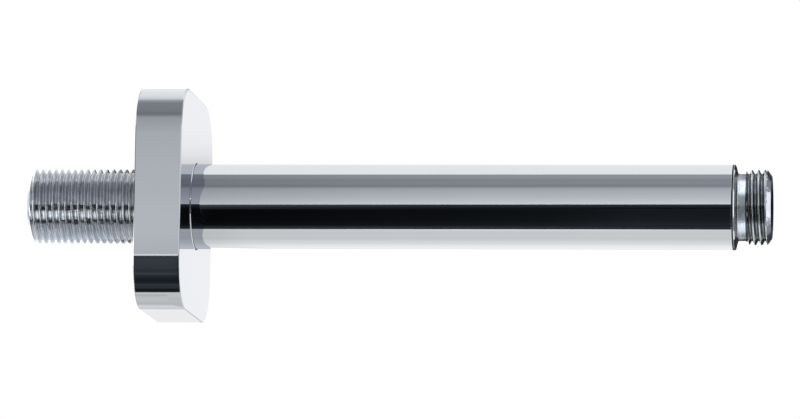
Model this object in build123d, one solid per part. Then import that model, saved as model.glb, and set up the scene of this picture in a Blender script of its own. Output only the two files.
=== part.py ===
from build123d import *
import os

# Straight shower arm for a half inch wall outlet, with a sliding square rose.
# Frame: +X runs out of the wall along the arm, +Z is up, and the plane x = 0
# is the finished wall, against which the back of the rose rests. Millimetres.

# Arm tube
tube_diameter = 24.0
tube_wall = 1.5
arm_reach = 164.4

# Half inch parallel pipe thread, drawn plain at its major diameter
thread_major_diameter = 20.955
thread_relief_diameter = 18.7
thread_pitch = 1.814

# Waterway through the two threaded ends
waterway_diameter = 12.5
waterway_mouth_chamfer = 0.3

# Brazed spigots that hold the threaded ends in the tube
spigot_length = 12.0
spigot_lead_chamfer = 0.8
braze_gap = 0.05

# Threaded inlet end, which screws into the wall outlet
inlet_projection = 33.7
inlet_thread_past_wall = 1.0
inlet_shoulder_length = 1.0
inlet_end_diameter = 17.0
inlet_end_chamfer_length = 1.5

# Threaded outlet end, which carries the shower head
outlet_lip_length = 0.3
outlet_cone_length = 0.9
outlet_relief_length = 2.4
outlet_thread_length = 5.9
outlet_end_diameter = 17.6
outlet_end_chamfer_length = 1.1

# Square wall rose
rose_width = 62.0
rose_corner_radius = 14.0
rose_depth = 13.0
rose_rim_wall = 2.5
rose_front_wall = 3.0
rose_front_edge_radius = 0.35
rose_back_edge_chamfer = 0.2
rose_draft_angle = 1.5
rose_root_radius = 1.2

# Hub that guides the rose on the tube and holds its sealing ring
hub_wall = 4.9
hub_back_recess = 2.5
hub_running_clearance = 0.1
hub_front_mouth_chamfer = 0.3
hub_back_mouth_chamfer = 0.8

# Sealing ring in the hub, which also keeps the rose where it is pushed
ring_cord_diameter = 2.0
ring_running_clearance = 0.05
ring_groove_width = 2.6
ring_groove_front_wall = 3.4

# Radii and stations worked out from the sizes above
tube_radius = tube_diameter / 2
tube_bore_radius = tube_radius - tube_wall
thread_radius = thread_major_diameter / 2
relief_radius = thread_relief_diameter / 2
waterway_radius = waterway_diameter / 2
spigot_radius = tube_bore_radius - braze_gap
inlet_relief_end = inlet_thread_past_wall + thread_pitch
tube_start = inlet_relief_end + inlet_shoulder_length
outlet_cone_start = arm_reach + outlet_lip_length
outlet_relief_start = outlet_cone_start + outlet_cone_length
outlet_thread_start = outlet_relief_start + outlet_relief_length
outlet_thread_end = outlet_thread_start + outlet_thread_length
outlet_end = outlet_thread_end + outlet_end_chamfer_length
hub_bore_radius = tube_radius + hub_running_clearance
hub_radius = hub_bore_radius + hub_wall
ring_inner_radius = tube_radius + ring_running_clearance
ring_centre_radius = ring_inner_radius + ring_cord_diameter / 2
ring_groove_radius = ring_inner_radius + ring_cord_diameter + ring_running_clearance
ring_groove_front = rose_depth - ring_groove_front_wall
ring_groove_back = ring_groove_front - ring_groove_width
ring_centre = (ring_groove_front + ring_groove_back) / 2


def turned(*corners):
    """Return the solid turned about the arm's axis from (x, radius) corners."""
    with BuildPart() as blank:
        with BuildSketch(Plane.XY):
            with BuildLine():
                Polyline(*corners, close=True)
            make_face()
        revolve(axis=Axis.X)
    return blank.part


def make_arm_tube():
    """Drawn tube, butted against the shoulders of both threaded ends."""
    return turned(
        (tube_start, tube_bore_radius),
        (tube_start, tube_radius),
        (arm_reach, tube_radius),
        (arm_reach, tube_bore_radius),
    )


def make_inlet_nipple():
    """Threaded end for the wall, with its relief, shoulder and spigot."""
    chamfer_start = -inlet_projection + inlet_end_chamfer_length
    spigot_end = tube_start + spigot_length
    mouth_radius = waterway_radius + waterway_mouth_chamfer
    return turned(
        (-inlet_projection, mouth_radius),
        (-inlet_projection, inlet_end_diameter / 2),
        (chamfer_start, thread_radius),
        (inlet_thread_past_wall, thread_radius),
        (inlet_thread_past_wall, relief_radius),
        (inlet_relief_end, relief_radius),
        (inlet_relief_end, tube_radius),
        (tube_start, tube_radius),
        (tube_start, spigot_radius),
        (spigot_end - spigot_lead_chamfer, spigot_radius),
        (spigot_end, spigot_radius - spigot_lead_chamfer),
        (spigot_end, waterway_radius),
        (-inlet_projection + waterway_mouth_chamfer, waterway_radius),
    )


def make_outlet_nipple():
    """Threaded end for the shower head, with its lip, cone, relief and spigot."""
    spigot_end = arm_reach - spigot_length
    mouth_radius = waterway_radius + waterway_mouth_chamfer
    return turned(
        (spigot_end, waterway_radius),
        (spigot_end, spigot_radius - spigot_lead_chamfer),
        (spigot_end + spigot_lead_chamfer, spigot_radius),
        (arm_reach, spigot_radius),
        (arm_reach, tube_radius),
        (outlet_cone_start, tube_radius),
        (outlet_relief_start, relief_radius),
        (outlet_thread_start, relief_radius),
        (outlet_thread_start, thread_radius),
        (outlet_thread_end, thread_radius),
        (outlet_end, outlet_end_diameter / 2),
        (outlet_end, mouth_radius),
        (outlet_end - waterway_mouth_chamfer, waterway_radius),
    )


def make_rose_bore():
    """Space that the rose's hub leaves for the tube and for the sealing ring."""
    back_mouth_radius = hub_bore_radius + hub_back_mouth_chamfer
    front_mouth_radius = hub_bore_radius + hub_front_mouth_chamfer
    return turned(
        (hub_back_recess, 0),
        (hub_back_recess, back_mouth_radius),
        (hub_back_recess + hub_back_mouth_chamfer, hub_bore_radius),
        (ring_groove_back, hub_bore_radius),
        (ring_groove_back, ring_groove_radius),
        (ring_groove_front, ring_groove_radius),
        (ring_groove_front, hub_bore_radius),
        (rose_depth - hub_front_mouth_chamfer, hub_bore_radius),
        (rose_depth, front_mouth_radius),
        (rose_depth, 0),
    )


def make_wall_flange():
    """Square rose cast as a hollow cap, with a hub that runs on the tube."""
    pocket_width = rose_width - 2 * rose_rim_wall
    pocket_corner_radius = rose_corner_radius - rose_rim_wall
    pocket_depth = rose_depth - rose_front_wall
    with BuildPart() as rose:
        with BuildSketch(Plane.YZ):
            RectangleRounded(rose_width, rose_width, rose_corner_radius)
        extrude(amount=rose_depth)
        with BuildSketch(Plane.YZ):
            RectangleRounded(pocket_width, pocket_width, pocket_corner_radius)
        extrude(amount=pocket_depth, taper=rose_draft_angle, mode=Mode.SUBTRACT)
        with BuildSketch(Plane.YZ.offset(hub_back_recess)):
            Circle(hub_radius)
        extrude(amount=pocket_depth - hub_back_recess, taper=-rose_draft_angle)
        back_rim, _, pocket_floor, front_face = (
            rose.faces().filter_by(Plane.YZ).sort_by(Axis.X)
        )
        fillet(pocket_floor.edges(), rose_root_radius)
        fillet(front_face.edges(), rose_front_edge_radius)
        chamfer(back_rim.outer_wire().edges(), rose_back_edge_chamfer)
        add(make_rose_bore(), mode=Mode.SUBTRACT)
    return rose.part


def make_flange_o_ring():
    """Rubber ring that lies in the hub's groove, drawn as it is when fitted."""
    with BuildPart() as ring:
        with BuildSketch(Plane.XY):
            with Locations((ring_centre, ring_centre_radius)):
                Circle(ring_cord_diameter / 2)
        revolve(axis=Axis.X)
    return ring.part


pieces = {
    "arm_tube": make_arm_tube(),
    "inlet_nipple": make_inlet_nipple(),
    "outlet_nipple": make_outlet_nipple(),
    "wall_flange": make_wall_flange(),
    "flange_o_ring": make_flange_o_ring(),
}

os.makedirs("parts", exist_ok=True)
for name, solid in pieces.items():
    solid.label = name
    export_step(solid, f"parts/{name}.step")
    print(name, round(solid.volume, 1), "mm3")
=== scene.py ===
import math

import bmesh
import bpy
import numpy as np
from mathutils import Matrix, Vector


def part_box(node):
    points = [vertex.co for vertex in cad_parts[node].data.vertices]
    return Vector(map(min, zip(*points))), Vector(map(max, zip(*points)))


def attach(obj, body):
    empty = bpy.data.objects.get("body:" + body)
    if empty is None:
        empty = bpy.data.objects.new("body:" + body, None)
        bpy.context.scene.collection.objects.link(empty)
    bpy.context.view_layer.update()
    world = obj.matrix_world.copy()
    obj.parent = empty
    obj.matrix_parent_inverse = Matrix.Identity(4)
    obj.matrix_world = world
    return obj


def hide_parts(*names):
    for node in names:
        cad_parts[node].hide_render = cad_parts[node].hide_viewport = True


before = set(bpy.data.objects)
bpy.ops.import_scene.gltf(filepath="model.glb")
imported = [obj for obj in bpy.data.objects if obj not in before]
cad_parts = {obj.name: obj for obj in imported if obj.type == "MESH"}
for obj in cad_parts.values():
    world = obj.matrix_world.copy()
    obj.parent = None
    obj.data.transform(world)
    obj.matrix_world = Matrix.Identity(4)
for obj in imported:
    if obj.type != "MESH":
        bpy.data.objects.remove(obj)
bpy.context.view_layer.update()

# Straight shower arm with a sliding square rose, in the frame of the solids: metres, +X runs out of the
# wall along the arm, +Z is up and the wall's face is the plane x = 0.

MM = 0.001
TURN = 2.0 * math.pi

# Places and sizes read from the solids
tube_low, tube_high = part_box("arm_tube")
inlet_low, inlet_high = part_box("inlet_nipple")
outlet_low, outlet_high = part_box("outlet_nipple")
rose_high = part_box("wall_flange")[1]
ring_low, ring_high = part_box("flange_o_ring")
tube_start = tube_low.x
tube_end = tube_high.x
tube_radius = tube_high.z
rose_depth = rose_high.x
rose_half_width = rose_high.z

# Sizes of the arm that no outer box gives
tube_wall = 1.5 * MM
waterway_radius = 6.25 * MM
waterway_mouth_chamfer = 0.3 * MM
spigot_radius = 10.45 * MM
spigot_lead_chamfer = 0.8 * MM

# Half inch pipe thread: 55 degree flanks, with rounded crests and roots
thread_radius = 10.4775 * MM
thread_pitch = 1.814 * MM
thread_depth = 0.640327 * thread_pitch
thread_tip_radius = 0.137329 * thread_pitch
thread_flank_angle = math.radians(27.5)
relief_radius = 9.35 * MM

# Stations and radii of the inlet
inlet_thread_stop = 1.0 * MM
inlet_relief_end = inlet_thread_stop + thread_pitch
inlet_end_radius = 8.5 * MM
inlet_chamfer_end = inlet_low.x + 1.5 * MM
inlet_crest_on_top = -30.4 * MM

# Stations and radii of the outlet. The tube's end and the turned end meet in a seam, painted near black as
# shade; the lip past it has a bright facet and then a cone painted dark as shade. The thread leads in at
# its start, and a land closes its last root, so that the chamfer is whole.
seam_groove = 0.20 * MM
seam_depth = 0.14 * MM
lip_start = tube_end + 0.22 * MM
lip_facet_start = tube_end + 0.30 * MM
lip_facet_end = tube_end + 0.61 * MM
lip_radius = tube_radius - 0.33 * MM
outlet_cone_end = tube_end + 1.2 * MM
outlet_root_fillet = 0.45 * MM
outlet_thread_start = outlet_cone_end + 2.4 * MM
thread_lead_slope = 1.5
outlet_crest_on_top = 169.44 * MM
outlet_chamfer_start = outlet_high.x - 1.22 * MM
outlet_end_radius = 8.8 * MM
land_start = outlet_chamfer_start - 0.3 * MM
land_slope = 3.6

# Sizes of the rose that no outer box gives
rose_corner_radius = 14.0 * MM
rose_rim_wall = 2.5 * MM
rose_front_wall = 3.0 * MM
rose_front_edge_radius = 0.35 * MM
rose_back_edge_chamfer = 0.2 * MM
rose_root_radius = 1.2 * MM
rose_draft = math.tan(math.radians(1.5))
hub_bore_radius = tube_radius + 0.1 * MM
hub_radius = hub_bore_radius + 4.9 * MM
hub_back = 2.5 * MM
hub_back_mouth = 0.8 * MM
bead_foot = 0.36 * MM
bead_height = 0.2 * MM
groove_radius = 14.1 * MM
groove_front = rose_depth - 3.4 * MM
groove_back = groove_front - 2.6 * MM

# Flash line that the mould leaves on the sealing ring; its width is a share of the cord's radius
flash_height = 0.04 * MM
flash_width = 0.06

# Fineness of the meshes. Edges are broken by a radius of edge_break, with guard points beside each arc.
round_segments = 288
thread_segments = 180
cord_segments = 48
arc_steps = 6
edge_break = 0.12 * MM
guard = 0.03 * MM
sharp_angle = math.radians(30)
weld_distance = 0.0005 * MM

# Share of a turn between the first column of a thread's mesh and the top of the arm
top_share = 0.25

# The hub's cast surface ends at this reach from the axis and at this station. A face whose normal's x
# part is below towards_wall looks at the wall.
hub_cast_reach = hub_bore_radius + 4.0 * MM
hub_cast_stop = rose_depth - 0.6 * MM
towards_wall = -0.9

# The photograph's view
image_width = 800
focal_length_px = 6088.0
sensor_width_mm = 36.0
camera_distance = 1.7075
camera_azimuth = math.radians(6.258)
camera_elevation = math.radians(-7.161)
camera_roll = math.radians(0.879)
camera_target = Vector((70.72 * MM, 0.0, -0.712 * MM))
camera_range = 50.0


# Meshes

def rounded(corners):
    """Points of an open outline with rounded corners (a, b, radius), and guard points beside each arc."""
    points = [tuple(corners[0][:2])]
    for before, corner, after in zip(corners, corners[1:], corners[2:]):
        here = np.array(corner[:2])
        radius = corner[2]
        if radius <= 0.0:
            points.append(tuple(here))
            continue
        to_before = np.array(before[:2]) - here
        to_after = np.array(after[:2]) - here
        to_before /= np.linalg.norm(to_before)
        to_after /= np.linalg.norm(to_after)
        half_angle = math.acos(np.clip(to_before @ to_after, -1.0, 1.0)) / 2
        tangent = radius / math.tan(half_angle)
        middle = to_before + to_after
        centre = here + middle / np.linalg.norm(middle) * radius / math.sin(half_angle)
        start = here + to_before * tangent - centre
        finish = here + to_after * tangent - centre
        sweep = math.pi - 2 * half_angle
        points.append(tuple(centre + start + to_before * guard))
        for step in range(arc_steps + 1):
            share = step / arc_steps
            spoke = math.sin((1 - share) * sweep) * start + math.sin(share * sweep) * finish
            points.append(tuple(centre + spoke / math.sin(sweep)))
        points.append(tuple(centre + finish + to_after * guard))
    points.append(tuple(corners[-1][:2]))
    return points


def finish_mesh(name, vertices, faces, materials, body, node, slot):
    """Make the piece, weld it, mark its sharp edges, and let it stand for a node on a body."""
    mesh = bpy.data.meshes.new(name)
    mesh.from_pydata(vertices, [], faces)
    work = bmesh.new()
    work.from_mesh(mesh)
    bmesh.ops.remove_doubles(work, verts=work.verts, dist=weld_distance)
    bmesh.ops.dissolve_degenerate(work, edges=work.edges, dist=weld_distance)
    bmesh.ops.recalc_face_normals(work, faces=work.faces)
    for face in work.faces:
        face.smooth = True
    for edge in work.edges:
        edge.smooth = edge.calc_face_angle(0.0) < sharp_angle
    work.to_mesh(mesh)
    work.free()
    piece = bpy.data.objects.new(name, mesh)
    bpy.context.scene.collection.objects.link(piece)
    for material in materials:
        mesh.materials.append(material)
    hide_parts(node)
    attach(piece, body)
    return piece


def lathe_rings(points, segments):
    """Rings of vertices about the X axis, one for each (x, radius) point."""
    angles = np.arange(segments) * TURN / segments
    return [[(x, r * math.cos(a), r * math.sin(a)) for a in angles] for x, r in points]


def skin(rings, closed):
    """Vertices and quads of a surface through rings that have as many vertices each."""
    count = len(rings[0])
    vertices = [vertex for ring in rings for vertex in ring]
    pairs = list(zip(range(len(rings) - 1), range(1, len(rings))))
    if closed:
        pairs.append((len(rings) - 1, 0))
    faces = []
    for a, b in pairs:
        for k in range(count):
            n = (k + 1) % count
            faces.append((a * count + k, a * count + n, b * count + n, b * count + k))
    return vertices, faces


def thread_outline(offset):
    """Radius of the thread at a distance along the arm from a crest."""
    half_pitch = thread_pitch / 2
    reach = abs((offset + half_pitch) % thread_pitch - half_pitch)
    arc_reach = thread_tip_radius * math.cos(thread_flank_angle)
    if reach <= arc_reach:
        return thread_radius - thread_tip_radius + math.sqrt(thread_tip_radius ** 2 - reach ** 2)
    if reach >= half_pitch - arc_reach:
        root = thread_radius - thread_depth
        return root + thread_tip_radius - math.sqrt(thread_tip_radius ** 2 - (half_pitch - reach) ** 2)
    crest_end = thread_radius - thread_tip_radius * (1 - math.sin(thread_flank_angle))
    return crest_end - (reach - arc_reach) / math.tan(thread_flank_angle)


def thread_steps():
    """Distances from a crest, over one pitch, at which the thread's outline is sampled."""
    arc_reach = thread_tip_radius * math.cos(thread_flank_angle)
    arc_shares = (-1, -0.6, -0.3, 0, 0.3, 0.6, 1)
    flank_shares = (0.06, 0.5, 0.94)
    arc = [arc_reach * math.sin(share * math.pi / 2) for share in arc_shares]
    flank = thread_pitch / 2 - 2 * arc_reach
    rise = [arc_reach + flank * share for share in flank_shares]
    fall = [thread_pitch - step for step in reversed(rise)]
    root = [thread_pitch / 2 + step for step in arc]
    return arc + rise + root + fall


def thread_radius_at(station, column, crest_on_top):
    """Radius of the thread at a station along the arm, in a column of its mesh."""
    return thread_outline(station - crest_on_top - thread_pitch * (column / thread_segments - top_share))


def thread_mesh(start, stop, crest_on_top, envelope, land=None):
    """Right-hand helical surface between two stations, cut by an envelope radius.

    Its grid follows the helix, with turns to spare at both ends. A land, where one is given, fills the
    thread's root up to its own radius.
    """
    steps = thread_steps()
    first = math.floor((start - crest_on_top) / thread_pitch) - 2
    last = math.ceil((stop - crest_on_top) / thread_pitch) + 1
    first_row = crest_on_top - top_share * thread_pitch
    rows = [first_row + turn * thread_pitch + step for turn in range(first, last) for step in steps]
    vertices = []
    for row in rows:
        for k in range(thread_segments):
            angle = TURN * k / thread_segments
            x = min(max(row + thread_pitch * k / thread_segments, start), stop)
            floor = max(relief_radius, land(x)) if land else relief_radius
            r = min(max(thread_radius_at(x, k, crest_on_top), floor), envelope(x))
            vertices.append((x, r * math.cos(angle), r * math.sin(angle)))
    faces = []
    shift = len(steps)
    for i in range(len(rows) - 1):
        for k in range(thread_segments):
            a = i * thread_segments + k
            b = a + thread_segments
            if k + 1 < thread_segments:
                faces.append((a, b, b + 1, a + 1))
            elif i + 1 + shift < len(rows):
                c = (i + shift) * thread_segments
                faces.append((a, b, c + thread_segments, c))
    return vertices, faces


def joined(*parts):
    """Vertices and faces of several surfaces together."""
    vertices, faces = [], []
    for part_vertices, part_faces in parts:
        base = len(vertices)
        vertices += part_vertices
        faces += [tuple(index + base for index in face) for face in part_faces]
    return vertices, faces


# Materials

def node_material(name, kind="ShaderNodeBsdfPrincipled"):
    """A node material with one shader, its node tree, the shader and the object coordinates."""
    material = bpy.data.materials.new(name)
    material.use_nodes = True
    tree = material.node_tree
    tree.nodes.clear()
    output = tree.nodes.new("ShaderNodeOutputMaterial")
    shader = tree.nodes.new(kind)
    tree.links.new(shader.outputs[0], output.inputs[0])
    place = tree.nodes.new("ShaderNodeTexCoord").outputs["Object"]
    return material, tree, shader, place


def noise(tree, place, scale, detail=3.0, stretch=None):
    """A noise texture's value, on coordinates that may be stretched."""
    if stretch:
        mapping = tree.nodes.new("ShaderNodeMapping")
        mapping.inputs["Scale"].default_value = stretch
        tree.links.new(place, mapping.inputs["Vector"])
        place = mapping.outputs[0]
    texture = tree.nodes.new("ShaderNodeTexNoise")
    texture.inputs["Scale"].default_value = scale
    texture.inputs["Detail"].default_value = detail
    tree.links.new(place, texture.inputs["Vector"])
    return texture.outputs[0]


def ranged(tree, value, low, high):
    """A value from 0 to 1 spread from low to high."""
    spread = tree.nodes.new("ShaderNodeMapRange")
    spread.inputs["To Min"].default_value = low
    spread.inputs["To Max"].default_value = high
    tree.links.new(value, spread.inputs["Value"])
    return spread.outputs[0]


def calculated(tree, operation, *values):
    """The result of a maths node on sockets and numbers."""
    node = tree.nodes.new("ShaderNodeMath")
    node.operation = operation
    for socket, value in zip(node.inputs, values):
        if isinstance(value, (int, float)):
            socket.default_value = value
        else:
            tree.links.new(value, socket)
    return node.outputs[0]


def from_axis(tree, place):
    """The distance from the arm's axis."""
    parts = tree.nodes.new("ShaderNodeSeparateXYZ")
    tree.links.new(place, parts.inputs[0])
    y_square = calculated(tree, "MULTIPLY", parts.outputs["Y"], parts.outputs["Y"])
    z_square = calculated(tree, "MULTIPLY", parts.outputs["Z"], parts.outputs["Z"])
    return calculated(tree, "SQRT", calculated(tree, "ADD", y_square, z_square))


def blended(tree, value, colour_a, colour_b):
    """A colour between two, by a value."""
    mix = tree.nodes.new("ShaderNodeMix")
    mix.data_type = "RGBA"
    mix.inputs[6].default_value = (*colour_a, 1.0)
    mix.inputs[7].default_value = (*colour_b, 1.0)
    tree.links.new(value, mix.inputs[0])
    return mix.outputs[2]


def multiplied(tree, colour, share):
    """A colour times a grey."""
    product = tree.nodes.new("ShaderNodeMix")
    product.data_type = "RGBA"
    product.blend_type = "MULTIPLY"
    product.inputs[0].default_value = 1.0
    tree.links.new(colour, product.inputs[6])
    tree.links.new(share, product.inputs[7])
    return product.outputs[2]


def stepped(tree, value, low, high, stops):
    """A colour from a ramp whose stops are (value, grey or colour), for a value between low and high."""
    ramp = tree.nodes.new("ShaderNodeValToRGB")
    elements = ramp.color_ramp.elements
    while len(elements) > 1:
        elements.remove(elements[-1])
    for index, (at, level) in enumerate(stops):
        colour = level if isinstance(level, tuple) else (level, level, level)
        position = (at - low) / (high - low)
        element = elements[0] if index == 0 else elements.new(position)
        element.position = position
        element.color = (*colour, 1.0)
    span = tree.nodes.new("ShaderNodeMapRange")
    span.inputs["From Min"].default_value = low
    span.inputs["From Max"].default_value = high
    tree.links.new(value, span.inputs["Value"])
    tree.links.new(span.outputs[0], ramp.inputs[0])
    return ramp.outputs[0]


def bumped(tree, shader, height, distance, strength=1.0, below=None):
    """Let a height tilt the shader's surface, on top of another bump where one is given."""
    bump = tree.nodes.new("ShaderNodeBump")
    bump.inputs["Distance"].default_value = distance
    bump.inputs["Strength"].default_value = strength
    tree.links.new(height, bump.inputs["Height"])
    if below:
        tree.links.new(below, bump.inputs["Normal"])
    tree.links.new(bump.outputs[0], shader.inputs["Normal"])
    return bump.outputs[0]


def coloured(tree, shader, value, dark, light):
    """Give the shader a base colour between two, by a value."""
    tree.links.new(blended(tree, value, dark, light), shader.inputs["Base Color"])


def roughened(tree, shader, value, low, high):
    """Give the shader a roughness between two, by a value."""
    tree.links.new(ranged(tree, value, low, high), shader.inputs["Roughness"])


def tool_rings(tree, place, scale, distortion, detail=2.0):
    """The height of the fine rings that a lathe tool leaves about the X axis."""
    rings = tree.nodes.new("ShaderNodeTexWave")
    rings.wave_type = "BANDS"
    rings.bands_direction = "X"
    rings.inputs["Scale"].default_value = scale
    rings.inputs["Distortion"].default_value = distortion
    rings.inputs["Detail"].default_value = detail
    tree.links.new(place, rings.inputs["Vector"])
    return rings.outputs[1]


def polished_chrome(name, edge_tint):
    """Bright plating over polished brass: nearly a mirror, with faint waves and the mop's hairlines."""
    material, tree, shader, place = node_material(name)
    coloured(tree, shader, noise(tree, place, scale=45.0),
             dark=(0.615, 0.63, 0.643), light=(0.64, 0.655, 0.668))
    shader.inputs["Metallic"].default_value = 1.0
    shader.inputs["Specular Tint"].default_value = (*edge_tint, 1.0)
    roughened(tree, shader, noise(tree, place, scale=320.0, detail=6.0), low=0.015, high=0.05)
    waves = noise(tree, place, scale=60.0, detail=1.0)
    hairlines = noise(tree, place, scale=900.0, detail=4.0, stretch=(1.0, 9.0, 9.0))
    waved = bumped(tree, shader, waves, distance=0.02 * MM)
    bumped(tree, shader, hairlines, distance=0.0004 * MM, below=waved)
    return material


def turned_metal(name, dark, light, roughness, grain, root_shade_share=1.0, waves=0.0):
    """Turned metal under thin plating: duller than the tube, with fine tool rings and a grain.

    A thread's root is painted darker as shade, where it has only a share of the crest's colour.
    Grain and waves are depths; the waves are the shallow unevenness that a worn die leaves.
    """
    material, tree, shader, place = node_material(name)
    colour = blended(tree, noise(tree, place, scale=300.0, detail=5.0), dark, light)
    # Painted shade: the colour darkens towards the thread's root, by distance from the axis.
    if root_shade_share < 1.0:
        root = thread_radius - thread_depth
        painted_root_shade = stepped(tree, from_axis(tree, place), root, thread_radius, [
            (root, root_shade_share),
            (root + thread_depth / 2, root_shade_share),
            (thread_radius - thread_depth / 8, 1.0),
        ])
        colour = multiplied(tree, colour, painted_root_shade)
    tree.links.new(colour, shader.inputs["Base Color"])
    shader.inputs["Metallic"].default_value = 1.0
    roughened(tree, shader, noise(tree, place, scale=700.0, detail=4.0), *roughness)
    rings = tool_rings(tree, place, scale=2200.0, distortion=0.6)
    tooled = bumped(tree, shader, rings, distance=0.003 * MM, strength=0.6)
    pits = noise(tree, place, scale=1300.0, detail=3.0)
    grained = bumped(tree, shader, pits, distance=grain, below=tooled)
    if waves:
        bumped(tree, shader, noise(tree, place, scale=430.0, detail=2.0), distance=waves, below=grained)
    return material


def shaded_bore_brass():
    """Turned brass deep inside, painted nearly black as shade, with the tool's spiral marks."""
    material, tree, shader, place = node_material("shaded_bore_brass")
    # Painted shade: the bore's colour is nearly black.
    coloured(tree, shader, noise(tree, place, scale=160.0, detail=6.0),
             dark=(0.004, 0.0034, 0.0028), light=(0.011, 0.0092, 0.0075))
    shader.inputs["Metallic"].default_value = 1.0
    roughened(tree, shader, noise(tree, place, scale=420.0, detail=4.0), low=0.34, high=0.52)
    rings = tool_rings(tree, place, scale=1100.0, distortion=1.2)
    bumped(tree, shader, rings, distance=0.01 * MM, strength=0.7)
    return material


def cast_inside():
    """Thin plating over the unpolished casting behind the rose: soft sheen and a fine cast grain."""
    material, tree, shader, place = node_material("cast_inside")
    coloured(tree, shader, noise(tree, place, scale=90.0, detail=6.0),
             dark=(0.46, 0.47, 0.48), light=(0.60, 0.61, 0.62))
    shader.inputs["Metallic"].default_value = 1.0
    roughened(tree, shader, noise(tree, place, scale=260.0, detail=5.0), low=0.30, high=0.50)
    grained = bumped(tree, shader, noise(tree, place, scale=1400.0, detail=5.0), distance=0.03 * MM)
    bumped(tree, shader, noise(tree, place, scale=150.0, detail=2.0), distance=0.08 * MM, below=grained)
    return material


def black_rubber():
    """Sealing ring: black rubber with a faint bloom and the mould's fine grain."""
    material, tree, shader, place = node_material("black_rubber")
    bloom = noise(tree, place, scale=500.0, detail=5.0)
    coloured(tree, shader, bloom, dark=(0.012, 0.012, 0.013), light=(0.035, 0.035, 0.036))
    roughened(tree, shader, bloom, low=0.45, high=0.65)
    bumped(tree, shader, noise(tree, place, scale=2600.0, detail=3.0), distance=0.01 * MM)
    return material


chrome = polished_chrome("polished_chrome", edge_tint=(1.0, 1.0, 1.0))
rose_chrome = polished_chrome("rose_chrome", edge_tint=(0.66, 0.68, 0.74))
inlet_metal = turned_metal(
    "bright_turned_metal", dark=(0.44, 0.47, 0.50), light=(0.80, 0.82, 0.845),
    roughness=(0.08, 0.20), grain=0.022 * MM, waves=0.14 * MM,
)
# The outlet's metal, with painted shade in its thread roots.
outlet_metal = turned_metal(
    "grey_turned_metal_root_shade", dark=(0.50, 0.535, 0.55), light=(0.66, 0.69, 0.70),
    roughness=(0.07, 0.15), grain=0.010 * MM, root_shade_share=0.42,
)
neck_metal = turned_metal(
    "grained_metal", dark=(0.52, 0.55, 0.57), light=(0.64, 0.67, 0.68),
    roughness=(0.14, 0.26), grain=0.034 * MM,
)
# Near-black metal put in narrow seams and gaps as painted shade.
seam_shade_metal = turned_metal(
    "painted_seam_shade", dark=(0.010, 0.010, 0.012), light=(0.022, 0.022, 0.025),
    roughness=(0.35, 0.5), grain=0.01 * MM,
)
# Dark metal for the cone under the lip: painted shade.
shaded_cone_metal = turned_metal(
    "painted_shade_cone", dark=(0.07, 0.075, 0.08), light=(0.13, 0.135, 0.14),
    roughness=(0.20, 0.30), grain=0.003 * MM,
)
brass = shaded_bore_brass()
casting = cast_inside()
rubber = black_rubber()


# Arm

def mark_faces(piece, material, test):
    """Give one of the piece's materials to the faces that pass a test."""
    index = piece.data.materials.find(material.name)
    for face in piece.data.polygons:
        if test(face):
            face.material_index = index


def mark_turned(piece, material, test):
    """Give one of the piece's materials to the faces whose centre passes a test of x and radius."""
    mark_faces(piece, material, lambda face: test(face.center.x, math.hypot(face.center.y, face.center.z)))


def make_tube():
    """The polished tube, butted on the shoulders of its two ends."""
    bore = tube_radius - tube_wall
    outline = rounded([
        (tube_start, bore, 0),
        (tube_start, tube_radius, edge_break / 2),
        (tube_end - seam_groove, tube_radius, edge_break / 2),
        (tube_end, tube_radius - seam_depth, 0),
        (tube_end, bore, 0),
    ])
    surface = skin(lathe_rings(outline, round_segments), closed=True)
    piece = finish_mesh("polished_tube", *surface, (chrome, brass, seam_shade_metal),
                        "arm", "arm_tube", "polished_chrome")
    # The tube's bore gets near-black brass: painted shade.
    mark_turned(piece, brass, lambda x, r: r < bore + edge_break / 2)
    # The seam groove at the tube's end gets near-black painted shade.
    mark_turned(piece, seam_shade_metal, lambda x, r: x > tube_end - seam_groove and r > bore + edge_break / 2)


def make_inlet():
    """The threaded end for the wall: thread, relief, shoulder, spigot and waterway in one turned piece."""
    slope = (thread_radius - inlet_end_radius) / (inlet_chamfer_end - inlet_low.x)
    mouth = waterway_radius + waterway_mouth_chamfer

    def envelope(x):
        return min(thread_radius, inlet_end_radius + (x - inlet_low.x) * slope)

    thread = thread_mesh(inlet_low.x, inlet_thread_stop, inlet_crest_on_top, envelope)
    spigot_end = inlet_high.x
    shank = [
        (inlet_thread_stop, relief_radius),
        (inlet_relief_end, relief_radius),
        (inlet_relief_end, tube_radius),
        (tube_start, tube_radius),
        (tube_start, spigot_radius),
        (spigot_end - spigot_lead_chamfer, spigot_radius),
        (spigot_end, spigot_radius - spigot_lead_chamfer),
        (spigot_end, waterway_radius),
        (inlet_low.x + waterway_mouth_chamfer, waterway_radius),
        (inlet_low.x, mouth),
        (inlet_low.x, inlet_end_radius),
    ]
    collar = collar_faces(inlet_thread_stop, inlet_crest_on_top)
    turned = skin(lathe_rings(shank, thread_segments), closed=False)
    piece = finish_mesh("threaded_inlet_end", *joined(thread, collar, turned), (inlet_metal, brass),
                        "arm", "inlet_nipple", "satin_plated_brass")
    # The waterway gets near-black brass: painted shade.
    mark_turned(piece, brass, lambda x, r: r < waterway_radius + waterway_mouth_chamfer / 4)


def collar_faces(station, crest_on_top):
    """The flat ring between the relief and the thread where the thread starts."""
    ring = []
    for k in range(thread_segments):
        angle = TURN * k / thread_segments
        r = max(thread_radius_at(station, k, crest_on_top), relief_radius)
        ring.append((station, r * math.cos(angle), r * math.sin(angle)))
    relief = lathe_rings([(station, relief_radius)], thread_segments)[0]
    return skin([ring, relief], closed=False)


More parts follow.
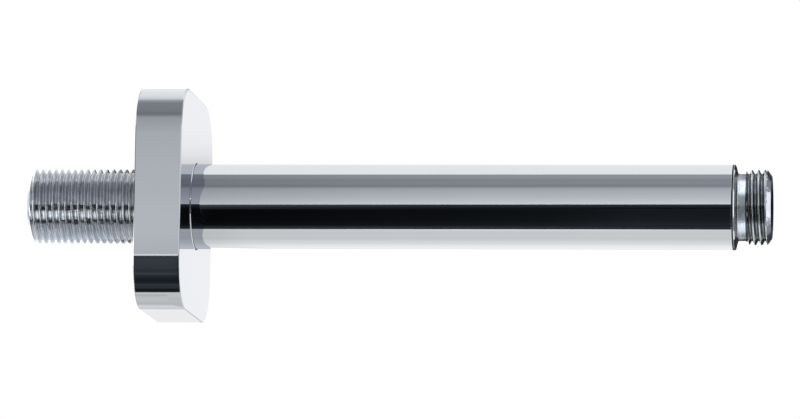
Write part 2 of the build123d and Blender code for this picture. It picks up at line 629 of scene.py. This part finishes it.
def make_outlet():
    """The threaded end for the shower head: lip, cone, neck, thread, spigot and waterway in one piece."""
    slope = (thread_radius - outlet_end_radius) / (outlet_high.x - outlet_chamfer_start)
    mouth = waterway_radius + waterway_mouth_chamfer

    def envelope(x):
        lead = relief_radius + (x - outlet_thread_start) * thread_lead_slope
        return min(thread_radius, outlet_end_radius + (outlet_high.x - x) * slope, lead)

    def land(x):
        return relief_radius + (x - land_start) * land_slope

    thread = thread_mesh(outlet_thread_start, outlet_high.x, outlet_crest_on_top, envelope, land)
    shank = rounded([
        (outlet_high.x, outlet_end_radius, 0),
        (outlet_high.x, mouth, 0),
        (outlet_high.x - waterway_mouth_chamfer, waterway_radius, 0),
        (outlet_low.x, waterway_radius, 0),
        (outlet_low.x, spigot_radius - spigot_lead_chamfer, 0),
        (outlet_low.x + spigot_lead_chamfer, spigot_radius, 0),
        (tube_end, spigot_radius, 0),
        (tube_end, tube_radius - seam_depth, 0),
        (lip_start, tube_radius, 0),
        (lip_facet_start, tube_radius, edge_break / 4),
        (lip_facet_end, lip_radius, edge_break / 2),
        (outlet_cone_end, relief_radius, outlet_root_fillet),
        (outlet_thread_start, relief_radius, 0),
    ])
    collar = collar_faces(outlet_thread_start, outlet_crest_on_top)
    turned = skin(lathe_rings(shank, thread_segments), closed=False)
    materials = (outlet_metal, brass, seam_shade_metal, chrome, neck_metal, shaded_cone_metal, inlet_metal)
    piece = finish_mesh("threaded_outlet_end", *joined(thread, collar, turned), materials,
                        "arm", "outlet_nipple", "satin_plated_brass")

    def on_neck(x, r):
        along = outlet_cone_end - edge_break < x < outlet_thread_start
        return along and mouth < r < relief_radius + edge_break

    lip_edge = lip_radius - guard
    # The waterway gets near-black brass: painted shade.
    mark_turned(piece, brass, lambda x, r: r < mouth)
    # The seam between the tube's end and the lip gets near-black painted shade.
    mark_turned(piece, seam_shade_metal, lambda x, r: tube_end < x < lip_start and r > spigot_radius)
    mark_turned(piece, chrome, lambda x, r: lip_start < x < outlet_cone_end and r > lip_edge)
    # The cone under the lip facet is darkened as painted shade.
    mark_turned(piece, shaded_cone_metal, lambda x, r: lip_facet_end < x < outlet_cone_end and r < lip_edge)
    mark_turned(piece, neck_metal, on_neck)
    mark_turned(piece, inlet_metal, lambda x, r: x > outlet_chamfer_start - 2 * edge_break and r > mouth)


# Rose

def rose_directions():
    """One entry for each column of the rose's mesh: (turn, place on a straight, angle in a corner)."""
    straight_steps = 40
    corner_steps = 32
    half_straight = rose_half_width - rose_corner_radius
    columns = []
    for quarter in range(4):
        turn = quarter * math.pi / 2
        places = [
            -half_straight + 2 * half_straight * k / straight_steps
            for k in range(straight_steps + 1)
        ]
        places.insert(1, places[0] + 3 * guard)
        places.insert(-1, places[-1] - 3 * guard)
        columns += [(turn, place, None) for place in places]
        columns += [(turn, None, (k + 1) / (corner_steps + 1) * math.pi / 2) for k in range(corner_steps)]
    return columns


def square_ring(x, inset, columns):
    """A ring of the soft square's outline, moved in by an inset."""
    half = rose_half_width - inset
    half_straight = rose_half_width - rose_corner_radius
    radius = rose_corner_radius - inset
    ring = []
    for turn, place, angle in columns:
        if place is not None:
            y, z = half, place
        else:
            y = half_straight + radius * math.cos(angle)
            z = half_straight + radius * math.sin(angle)
        ring.append((x, y * math.cos(turn) - z * math.sin(turn), y * math.sin(turn) + z * math.cos(turn)))
    return ring


def circle_ring(x, radius, outer_ring):
    """A ring on a circle whose vertices lie in the same directions as the outline's."""
    return [(x, radius * y / math.hypot(y, z), radius * z / math.hypot(y, z)) for _, y, z in outer_ring]


def make_rose():
    """The soft-square rose: hollow cap, drafted hub, groove for the sealing ring and crisp front edge."""
    columns = rose_directions()
    pocket_floor = rose_depth - rose_front_wall
    floor_inset = rose_rim_wall + pocket_floor * rose_draft
    hub_root_radius = hub_radius + (pocket_floor - hub_back) * rose_draft
    cap = rounded([
        (pocket_floor, floor_inset + 2 * rose_root_radius, 0),
        (pocket_floor, floor_inset, rose_root_radius),
        (0.0, rose_rim_wall, edge_break / 2),
        (0.0, rose_back_edge_chamfer, edge_break / 2),
        (rose_back_edge_chamfer, 0.0, edge_break / 2),
        (rose_depth, 0.0, rose_front_edge_radius),
        (rose_depth, 3 * rose_front_edge_radius, 0),
    ])
    hub = rounded([
        (rose_depth, hub_bore_radius + 3 * bead_foot, 0),
        (rose_depth, hub_bore_radius + bead_foot, edge_break / 4),
        (rose_depth + bead_height, hub_bore_radius + bead_foot - bead_height, edge_break / 4),
        (rose_depth, hub_bore_radius, edge_break / 4),
        (groove_front, hub_bore_radius, edge_break),
        (groove_front, groove_radius, 0),
        (groove_back, groove_radius, 0),
        (groove_back, hub_bore_radius, edge_break),
        (hub_back + hub_back_mouth, hub_bore_radius, edge_break),
        (hub_back, hub_bore_radius + hub_back_mouth, edge_break),
        (hub_back, hub_radius, edge_break * 2),
        (pocket_floor, hub_root_radius, rose_root_radius),
        (pocket_floor, hub_root_radius + 2 * rose_root_radius, 0),
    ])
    cap_rings = [square_ring(x, inset, columns) for x, inset in cap]
    outline = square_ring(0.0, 0.0, columns)
    hub_rings = [circle_ring(x, radius, outline) for x, radius in hub]
    surface = skin(cap_rings + hub_rings, closed=True)
    piece = finish_mesh("square_rose", *surface, (rose_chrome, casting, seam_shade_metal),
                        "rose", "wall_flange", "polished_chrome")

    def is_cast(face):
        x, y, z = face.center
        in_pocket = x < pocket_floor + guard and math.hypot(y, z) > hub_radius - edge_break
        in_hub = x < hub_cast_stop and max(abs(y), abs(z)) < hub_cast_reach
        on_outside = face.normal.x > towards_wall and is_outer(y, z)
        return (in_pocket or in_hub) and not on_outside

    # Faces in the bore's mouth that face the tube get near-black painted shade for the gap between rose and
    # tube.
    def is_gap_shade(face):
        x, y, z = face.center
        inward = face.normal.y * y + face.normal.z * z < 0.0
        return x > groove_front and max(abs(y), abs(z)) < hub_bore_radius + bead_foot and inward

    mark_faces(piece, casting, is_cast)
    mark_faces(piece, seam_shade_metal, is_gap_shade)


def is_outer(y, z):
    """Does a point lie on the rose's outer wall?"""
    half_straight = rose_half_width - rose_corner_radius
    past_y = max(abs(y) - half_straight, 0.0)
    past_z = max(abs(z) - half_straight, 0.0)
    return math.hypot(past_y, past_z) > rose_corner_radius - rose_rim_wall / 2


def make_ring():
    """The rubber sealing ring, with the fine flash line that its mould leaves."""
    centre = (ring_low.x + ring_high.x) / 2
    cord = (ring_high.x - ring_low.x) / 2
    middle = ring_high.z - cord
    outline = []
    for k in range(cord_segments):
        angle = TURN * k / cord_segments
        flash = flash_height * math.exp(-(math.cos(angle) / flash_width) ** 2)
        reach = cord - flash_height + flash
        outline.append((centre + reach * math.cos(angle), middle + reach * math.sin(angle)))
    surface = skin(lathe_rings(outline, round_segments), closed=True)
    finish_mesh("sealing_ring", *surface, (rubber,), "ring", "flange_o_ring", "black_rubber")


make_tube()
make_inlet()
make_outlet()
make_rose()
make_ring()


# Studio

def emission_material(name):
    """A node material that only glows, its node tree, its glow and the split object coordinates."""
    material, tree, glow, place = node_material(name, "ShaderNodeEmission")
    parts = tree.nodes.new("ShaderNodeSeparateXYZ")
    tree.links.new(place, parts.inputs[0])
    return material, tree, glow, parts


def only_in_reflections(card):
    """Let a stage card show in metal alone: the camera, soft light and shadows pass it by."""
    card.visible_camera = False
    card.visible_diffuse = False
    card.visible_transmission = False
    card.visible_volume_scatter = False
    card.visible_shadow = False


def card_mesh(name, vertices, faces, material):
    """A stage card with its material."""
    mesh = bpy.data.meshes.new(name)
    mesh.from_pydata(vertices, [], faces)
    mesh.materials.append(material)
    for face in mesh.polygons:
        face.use_smooth = True
    card = bpy.data.objects.new(name, mesh)
    bpy.context.scene.collection.objects.link(card)
    return card


# Tints of the studio's light
WHITE = (0.99, 1.0, 1.01)
PALE = (0.965, 1.0, 1.07)
COOL = (0.955, 1.0, 1.11)
NIGHT = (0.85, 1.0, 1.20)
WARM = (1.03, 1.0, 0.945)

# Long cards round the front and top of the arm: one row that the tube shows, and one that the rose shows.
# Their bands are height angle in degrees (0 is level towards the camera, 90 straight up), light level (1 is
# the white of the background) and tint. Their ends are places along the arm, and their fades are (place,
# share of the light). The tube's bands lean by so many degrees for each metre along the arm.
front_radius = 0.28
front_ends = (-0.0228, 0.30)
rose_front_ends = (-0.42, -0.0228)
front_lean = 16.0
front_lean_centre = 0.058
dark_bands = [
    (-57.0, 0.014, NIGHT),
    (-43.0, 0.0085, NIGHT),
    (-18.0, 0.0065, NIGHT),
    (-13.0, 0.009, NIGHT),
]
dark_fade = [(-0.0255, 0.40), (0.012, 0.65), (0.058, 1.0), (0.091, 1.3), (0.120, 2.3)]
low_dark_bands = [
    (-86.0, 0.054, NIGHT),
    (-70.0, 0.050, NIGHT),
    (-61.5, 0.042, NIGHT),
    (-57.0, 0.014, NIGHT),
]
low_dark_fade = [(-0.0255, 0.80), (0.030, 1.0), (0.080, 1.0), (0.120, 0.90)]
rim_bands = [
    (-13.0, 0.009, NIGHT),
    (-8.5, 0.017, NIGHT),
    (-3.2, 0.042, NIGHT),
    (-0.4, 0.055, NIGHT),
]
rim_fade = [(-0.0255, 1.9), (0.012, 1.4), (0.058, 1.0), (0.120, 0.9)]
pale_bands = [
    (-0.4, 0.94, PALE),
    (3.0, 0.88, PALE),
    (10.0, 0.80, PALE),
    (18.0, 0.72, PALE),
    (29.0, 0.65, PALE),
    (40.0, 0.575, PALE),
    (44.0, 0.50, COOL),
    (47.5, 0.36, COOL),
    (51.0, 0.31, COOL),
    (57.0, 0.36, COOL),
    (70.0, 0.35, COOL),
    (77.0, 0.42, COOL),
    (86.0, 0.43, COOL),
    (89.6, 0.46, COOL),
]
pale_fade = [(-0.0255, 0.82), (0.03, 0.94), (0.074, 1.0), (0.144, 1.03)]
top_bands = [
    (89.6, 1.15, WHITE),
    (95.0, 1.20, WHITE),
    (125.0, 1.16, WHITE),
    (146.0, 1.10, WHITE),
    (165.0, 1.0, WHITE),
]
rose_dark_bands = [
    (-87.0, 0.03, NIGHT),
    (-80.5, 0.028, NIGHT),
    (-78.0, 0.011, NIGHT),
    (-74.5, 0.016, NIGHT),
    (-71.5, 0.045, NIGHT),
    (-66.0, 0.044, NIGHT),
    (-63.0, 0.060, NIGHT),
    (-60.5, 0.027, NIGHT),
    (-54.0, 0.016, NIGHT),
    (-45.5, 0.029, NIGHT),
    (-41.0, 0.052, NIGHT),
    (-38.8, 0.078, NIGHT),
    (-36.5, 0.050, NIGHT),
    (-32.5, 0.043, NIGHT),
    (-27.0, 0.057, NIGHT),
    (-9.5, 0.066, NIGHT),
    (-5.0, 0.054, NIGHT),
    (-2.1, 0.075, NIGHT),
]
rose_pale_bands = [
    (-2.1, 0.95, PALE),
    (0.3, 0.97, PALE),
    (1.4, 0.60, PALE),
    (3.3, 0.69, PALE),
    (3.9, 0.72, PALE),
    (5.2, 0.72, PALE),
    (6.5, 0.685, PALE),
    (8.5, 0.66, PALE),
    (11.0, 0.60, PALE),
    (17.0, 0.565, PALE),
    (30.0, 0.525, PALE),
    (40.6, 0.477, PALE),
    (47.0, 0.27, COOL),
    (51.0, 0.25, COOL),
    (56.0, 0.285, COOL),
    (78.0, 0.32, COOL),
    (84.8, 0.50, COOL),
    (89.6, 0.80, COOL),
]
rose_top_bands = [
    (89.6, 0.92, WHITE),
    (94.0, 0.98, WHITE),
    (100.0, 1.12, WHITE),
    (117.0, 1.28, WHITE),
    (130.0, 1.50, WARM),
    (165.0, 1.60, WARM),
]


def tinted(level, tint):
    """A light level as a colour."""
    return tuple(level * share for share in tint)


def tinted_stops(bands):
    """The stops of a colour ramp for a card's bands."""
    return [(at, tinted(level, tint)) for at, level, tint in bands]


def faded(tree, colour, place, fade):
    """A card's colour, changed along the arm by (x, share) stops."""
    share = stepped(tree, place.outputs["X"], fade[0][0], fade[-1][0], fade)
    return multiplied(tree, colour, share)


def arc_card(name, radius, ends, bands, fade=None, lean=0.0):
    """A card curved about the arm's axis, whose light changes with its height angle.

    It may also change along the arm by a fade, and its bands may lean.
    """
    material, tree, glow, place = emission_material(name)
    low, high = bands[0][0], bands[-1][0]
    outward = calculated(tree, "MULTIPLY", place.outputs["Y"], -1.0)
    angle = calculated(tree, "DEGREES", calculated(tree, "ARCTAN2", place.outputs["Z"], outward))
    past_centre = calculated(tree, "SUBTRACT", place.outputs["X"], front_lean_centre)
    upright = calculated(tree, "SUBTRACT", angle, calculated(tree, "MULTIPLY", past_centre, lean))
    colour = stepped(tree, upright, low, high, tinted_stops(bands))
    if fade:
        colour = faded(tree, colour, place, fade)
    tree.links.new(colour, glow.inputs["Color"])
    steps = math.ceil(high - low)
    vertices = []
    for k in range(steps + 1):
        for x in ends:
            a = math.radians(low + (high - low) * k / steps + lean * (x - front_lean_centre))
            vertices.append((x, -radius * math.cos(a), radius * math.sin(a)))
    faces = [(2 * k, 2 * k + 1, 2 * k + 3, 2 * k + 2) for k in range(steps)]
    only_in_reflections(card_mesh(name, vertices, faces, material))


# The pale table close under the arm, which the lower half of the metal shows. Its bands are distance in
# millimetres behind its front edge, light level and tint. The front edge comes nearer by the slant along
# the arm.
table_height = -58.2 * MM
table_front = -27.5 * MM
table_slant = 0.0105
table_depth = 0.53
table_bands = [
    (3.6, 0.95, WHITE),
    (5.0, 0.91, WHITE),
    (9.6, 0.90, WHITE),
    (12.9, 0.87, WHITE),
    (16.1, 0.87, WHITE),
    (19.5, 0.92, WHITE),
    (22.8, 0.905, WHITE),
    (26.3, 0.87, WHITE),
    (33.8, 0.89, WHITE),
    (37.9, 0.94, WHITE),
    (42.4, 1.01, WHITE),
    (53.1, 1.05, WHITE),
    (60.0, 1.11, WHITE),
    (68.6, 1.20, WHITE),
    (97.7, 1.24, WHITE),
    (131.0, 1.22, WHITE),
    (175.0, 1.12, WHITE),
    (205.0, 1.02, WHITE),
    (300.0, 1.0, WHITE),
]
table_fade = [(0.0045, 0.86), (0.014, 0.90), (0.022, 0.97), (0.05, 0.99), (0.09, 1.0), (0.15, 1.0)]
table_edge_fade = [(0.0045, 0.72), (0.021, 0.75), (0.047, 0.81), (0.096, 1.05), (0.129, 1.0), (0.156, 0.87)]
table_edge_width = 3.6
table_edge_bands = [(0.0, 1.13, WHITE), (table_edge_width, 1.10, WHITE)]
table_ends = (0.0045, 0.265)
rose_table_ends = (-0.45, 0.0045)
rose_table_bands = [
    (0.0, 0.62, WHITE),
    (1.5, 0.86, WHITE),
    (3.0, 0.86, WHITE),
    (4.3, 0.66, WHITE),
    (6.3, 0.67, WHITE),
    (9.5, 0.78, WHITE),
    (15.2, 0.83, WHITE),
    (20.7, 0.80, WHITE),
    (27.9, 0.735, WHITE),
    (32.5, 0.81, WHITE),
    (38.4, 1.03, WHITE),
    (46.6, 1.18, WHITE),
    (59.6, 1.15, WARM),
    (87.5, 1.12, WARM),
    (150.0, 1.15, WARM),
    (200.0, 1.39, WARM),
    (300.0, 1.39, WARM),
]


def table_card(name, ends, bands, fade=None, depth=None):
    """A strip of the table's top between two stations, from the first band to the last or to a depth."""
    material, tree, glow, place = emission_material(name)
    slant = calculated(tree, "MULTIPLY", place.outputs["X"], table_slant)
    straight = calculated(tree, "ADD", place.outputs["Y"], slant)
    inwards = calculated(tree, "MULTIPLY", calculated(tree, "SUBTRACT", straight, table_front), 1.0 / MM)
    colour = stepped(tree, inwards, bands[0][0], bands[-1][0], tinted_stops(bands))
    if fade:
        colour = faded(tree, colour, place, fade)
    tree.links.new(colour, glow.inputs["Color"])
    near = bands[0][0] * MM
    far = depth if depth else bands[-1][0] * MM
    left, right = [(x, table_front - x * table_slant) for x in ends]
    corners = [
        (left[0], left[1] + near, table_height),
        (right[0], right[1] + near, table_height),
        (right[0], right[1] + far, table_height),
        (left[0], left[1] + far, table_height),
    ]
    only_in_reflections(card_mesh(name, corners, [(0, 1, 2, 3)], material))


# Small reflectors beside the two threaded ends and the neck, with bands like those of the long cards
near_card_radius = 0.045
inlet_card_ends = (-0.048, -0.0075)
inlet_bands = [
    (-165.0, 1.0, WHITE),
    (-135.0, 0.95, COOL),
    (-112.0, 0.80, COOL),
    (-95.0, 0.58, COOL),
    (-80.0, 0.50, COOL),
    (-66.0, 0.50, COOL),
    (-62.0, 0.02, NIGHT),
    (-51.0, 0.02, NIGHT),
    (-45.0, 1.0, WHITE),
    (-34.0, 1.9, WHITE),
    (-24.0, 1.2, WHITE),
    (-17.0, 0.02, NIGHT),
    (-4.0, 0.03, NIGHT),
    (0.0, 0.50, COOL),
    (20.0, 0.46, COOL),
    (40.0, 0.35, COOL),
    (55.0, 0.31, COOL),
    (78.0, 0.34, COOL),
    (84.0, 0.60, COOL),
    (88.0, 0.92, COOL),
    (93.0, 0.84, COOL),
    (99.0, 0.72, COOL),
    (110.0, 0.70, WHITE),
    (125.0, 0.85, WHITE),
    (150.0, 0.95, WHITE),
]
inlet_fade = [(-0.048, 1.0), (-0.025, 0.95), (-0.0075, 0.84)]
neck_card_ends = (0.1630, 0.1662)
neck_bands = [
    (-125.0, 0.20, COOL),
    (-108.0, 0.50, COOL),
    (-90.0, 1.45, COOL),
    (-60.0, 1.50, COOL),
    (-50.0, 0.58, COOL),
    (-39.0, 0.45, COOL),
    (-4.0, 0.33, COOL),
    (20.0, 0.30, COOL),
    (29.0, 0.42, COOL),
    (38.0, 1.70, COOL),
    (86.0, 1.75, COOL),
    (93.0, 0.50, COOL),
    (112.0, 0.40, COOL),
    (150.0, 0.35, COOL),
]
thread_card_ends = (0.1662, 0.178)
thread_fade = [(0.1662, 1.0), (0.1696, 1.0), (0.1712, 0.45), (0.178, 0.45)]
thread_bands = [
    (-125.0, 0.15, COOL),
    (-98.0, 0.30, COOL),
    (-88.0, 1.30, COOL),
    (-60.0, 2.30, COOL),
    (-50.0, 0.80, COOL),
    (-39.0, 0.50, COOL),
    (-4.0, 0.30, COOL),
    (20.0, 0.24, COOL),
    (33.0, 0.45, COOL),
    (42.0, 2.50, COOL),
    (78.0, 2.50, COOL),
    (90.0, 0.70, COOL),
    (104.0, 0.30, COOL),
    (150.0, 0.20, COOL),
]


def upright_card(name, start, end, bands):
    """A card that stands on the line between two (x, y) points, whose light changes with its height."""
    material, tree, glow, place = emission_material(name)
    foot, head = bands[0][0], bands[-1][0]
    colour = stepped(tree, place.outputs["Z"], foot, head, tinted_stops(bands))
    tree.links.new(colour, glow.inputs["Color"])
    vertices = [(*start, foot), (*end, foot), (*end, head), (*start, head)]
    only_in_reflections(card_mesh(name, vertices, [(0, 1, 2, 3)], material))


# Upright cards: the (x, y) points that each stands between, and its bands by height in metres
left_card_line = ((-0.42, -0.27), (-0.42, 0.05))
left_bands = [
    (-0.30, 0.40, COOL),
    (-0.24, 0.38, COOL),
    (-0.22, 0.03, NIGHT),
    (-0.175, 0.03, NIGHT),
    (-0.165, 2.6, WHITE),
    (0.035, 2.6, WHITE),
    (0.050, 0.03, NIGHT),
    (0.120, 0.03, NIGHT),
    (0.140, 0.36, COOL),
    (0.40, 0.36, COOL),
]
right_card_line = ((0.55, -0.035), (0.55, 0.90))
right_bands = [
    (-0.50, 0.90, COOL),
    (-0.33, 0.75, COOL),
    (-0.24, 0.30, COOL),
    (-0.150, 0.30, COOL),
    (-0.098, 0.44, COOL),
    (-0.074, 1.32, PALE),
    (0.150, 1.32, PALE),
    (0.185, 0.30, COOL),
    (0.34, 0.30, COOL),
    (0.41, 1.05, COOL),
    (0.53, 1.35, COOL),
    (0.70, 1.0, COOL),
]
front_right_line = ((0.55, -0.25), (0.55, -0.035))
front_right_bands = [
    (-0.50, 0.90, COOL),
    (-0.33, 0.75, COOL),
    (-0.244, 0.29, COOL),
    (-0.145, 0.17, COOL),
    (-0.04, 0.08, COOL),
    (0.03, 0.12, COOL),
    (0.068, 0.33, COOL),
    (0.18, 0.40, COOL),
    (0.29, 0.57, COOL),
    (0.41, 1.03, COOL),
    (0.70, 1.3, COOL),
]
outlet_back_line = ((0.1622, 0.040), (0.215, 0.040))
outlet_back_bands = [(-0.045, 0.04, NIGHT), (0.045, 0.04, NIGHT)]
inlet_back_line = ((-0.0125, 0.030), (-0.001, 0.030))
inlet_back_bands = [(-0.022, 0.55, COOL), (-0.002, 0.50, COOL), (0.002, 0.03, NIGHT), (0.022, 0.03, NIGHT)]
background_line = ((-0.60, 0.62), (1.0, 0.62))
background_bands = [
    (-0.40, 1.57, WARM),
    (0.0755, 1.57, WARM),
    (0.0811, 1.45, WARM),
    (0.085, 1.345, WARM),
    (0.0889, 1.28, WARM),
    (0.0935, 1.10, WARM),
    (0.0975, 1.36, WARM),
    (0.102, 1.50, WARM),
    (0.109, 1.57, WARM),
    (0.70, 1.57, WARM),
]


# Floor, soft light, and lamps as (name, place, width in metres, power in watts)
floor_height = -0.45
floor_reach = 12.0
floor_roughness = 0.8
white_light = (1.0, 1.0, 1.0, 1.0)
soft_light = (0.95, 0.97, 1.0, 1.0)
soft_strength = 0.55
lamps = [
    ("lamp_above", (0.1, -0.5, 1.4), 1.2, 16.0),
    ("lamp_left", (-1.1, -0.7, 0.6), 0.9, 7.0),
]


def make_floor():
    """A plain pale floor well below the held arm."""
    material, tree, shader, place = node_material("pale_floor")
    coloured(tree, shader, noise(tree, place, scale=3.0), dark=(0.86, 0.86, 0.86), light=(0.88, 0.88, 0.88))
    shader.inputs["Roughness"].default_value = floor_roughness
    corners = [
        (-floor_reach, -floor_reach, floor_height),
        (floor_reach, -floor_reach, floor_height),
        (floor_reach, floor_reach, floor_height),
        (-floor_reach, floor_reach, floor_height),
    ]
    card_mesh("pale_floor", corners, [(0, 1, 2, 3)], material)


def background_light(tree, colour, strength):
    """A background shader of one colour and strength."""
    light = tree.nodes.new("ShaderNodeBackground")
    light.inputs["Color"].default_value = colour
    light.inputs["Strength"].default_value = strength
    return light.outputs[0]


def make_world():
    """Even soft light, and plain white behind the object, in reflections too."""
    world = bpy.data.worlds.new("studio")
    bpy.context.scene.world = world
    world.use_nodes = True
    tree = world.node_tree
    tree.nodes.clear()
    output = tree.nodes.new("ShaderNodeOutputWorld")
    rays = tree.nodes.new("ShaderNodeLightPath")
    seen = calculated(tree, "ADD", rays.outputs["Is Camera Ray"], rays.outputs["Is Glossy Ray"])
    seen = calculated(tree, "ADD", seen, rays.outputs["Is Transmission Ray"])
    mix = tree.nodes.new("ShaderNodeMixShader")
    tree.links.new(calculated(tree, "MINIMUM", seen, 1.0), mix.inputs[0])
    tree.links.new(background_light(tree, soft_light, soft_strength), mix.inputs[1])
    tree.links.new(background_light(tree, white_light, 1.0), mix.inputs[2])
    tree.links.new(mix.outputs[0], output.inputs[0])


def soft_lamp(name, place, size, power):
    """A large soft lamp that looks at the arm."""
    data = bpy.data.lights.new(name, "AREA")
    data.shape = "SQUARE"
    data.size = size
    data.energy = power
    lamp = bpy.data.objects.new(name, data)
    lamp.location = place
    lamp.rotation_euler = (camera_target - Vector(place)).to_track_quat("-Z", "Y").to_euler()
    lamp.visible_glossy = False
    bpy.context.scene.collection.objects.link(lamp)


def make_camera():
    """The photograph's view: a long lens a little to the outlet's side and a little below the arm."""
    data = bpy.data.cameras.new("camera")
    data.sensor_width = sensor_width_mm
    data.lens = focal_length_px * sensor_width_mm / image_width
    data.clip_end = camera_range
    back = Vector((
        math.sin(camera_azimuth) * math.cos(camera_elevation),
        -math.cos(camera_azimuth) * math.cos(camera_elevation),
        math.sin(camera_elevation),
    ))
    right = Vector((math.cos(camera_azimuth), math.sin(camera_azimuth), 0.0))
    up = back.cross(right)
    rolled_right = right * math.cos(camera_roll) + up * math.sin(camera_roll)
    rolled_up = up * math.cos(camera_roll) - right * math.sin(camera_roll)
    axes = Matrix((rolled_right, rolled_up, back)).transposed().to_4x4()
    camera = bpy.data.objects.new("camera", data)
    camera.matrix_world = Matrix.Translation(camera_target + back * camera_distance) @ axes
    bpy.context.scene.collection.objects.link(camera)
    bpy.context.scene.camera = camera


for name, bands, fade in (
    ("dark_front_card", dark_bands, dark_fade),
    ("low_dark_card", low_dark_bands, low_dark_fade),
    ("rim_front_card", rim_bands, rim_fade),
    ("pale_front_card", pale_bands, pale_fade),
    ("top_card", top_bands, None),
):
    arc_card(name, front_radius, front_ends, bands, fade, front_lean)
for name, bands in (
    ("rose_dark_card", rose_dark_bands),
    ("rose_pale_card", rose_pale_bands),
    ("rose_top_card", rose_top_bands),
):
    arc_card(name, front_radius, rose_front_ends, bands)
table_card("table_card", table_ends, table_bands, table_fade, table_depth)
table_card("table_edge_card", table_ends, table_edge_bands, table_edge_fade)
table_card("rose_table_card", rose_table_ends, rose_table_bands, None, table_depth)
arc_card("inlet_card", near_card_radius, inlet_card_ends, inlet_bands, inlet_fade)
arc_card("neck_card", near_card_radius, neck_card_ends, neck_bands)
arc_card("thread_card", near_card_radius, thread_card_ends, thread_bands, thread_fade)
upright_card("left_card", *left_card_line, left_bands)
upright_card("right_card", *right_card_line, right_bands)
upright_card("front_right_card", *front_right_line, front_right_bands)
upright_card("outlet_back_card", *outlet_back_line, outlet_back_bands)
upright_card("inlet_back_card", *inlet_back_line, inlet_back_bands)
upright_card("background_card", *background_line, background_bands)
make_floor()
make_world()
for lamp in lamps:
    soft_lamp(*lamp)
make_camera()
bpy.context.scene.view_settings.view_transform = "Standard"
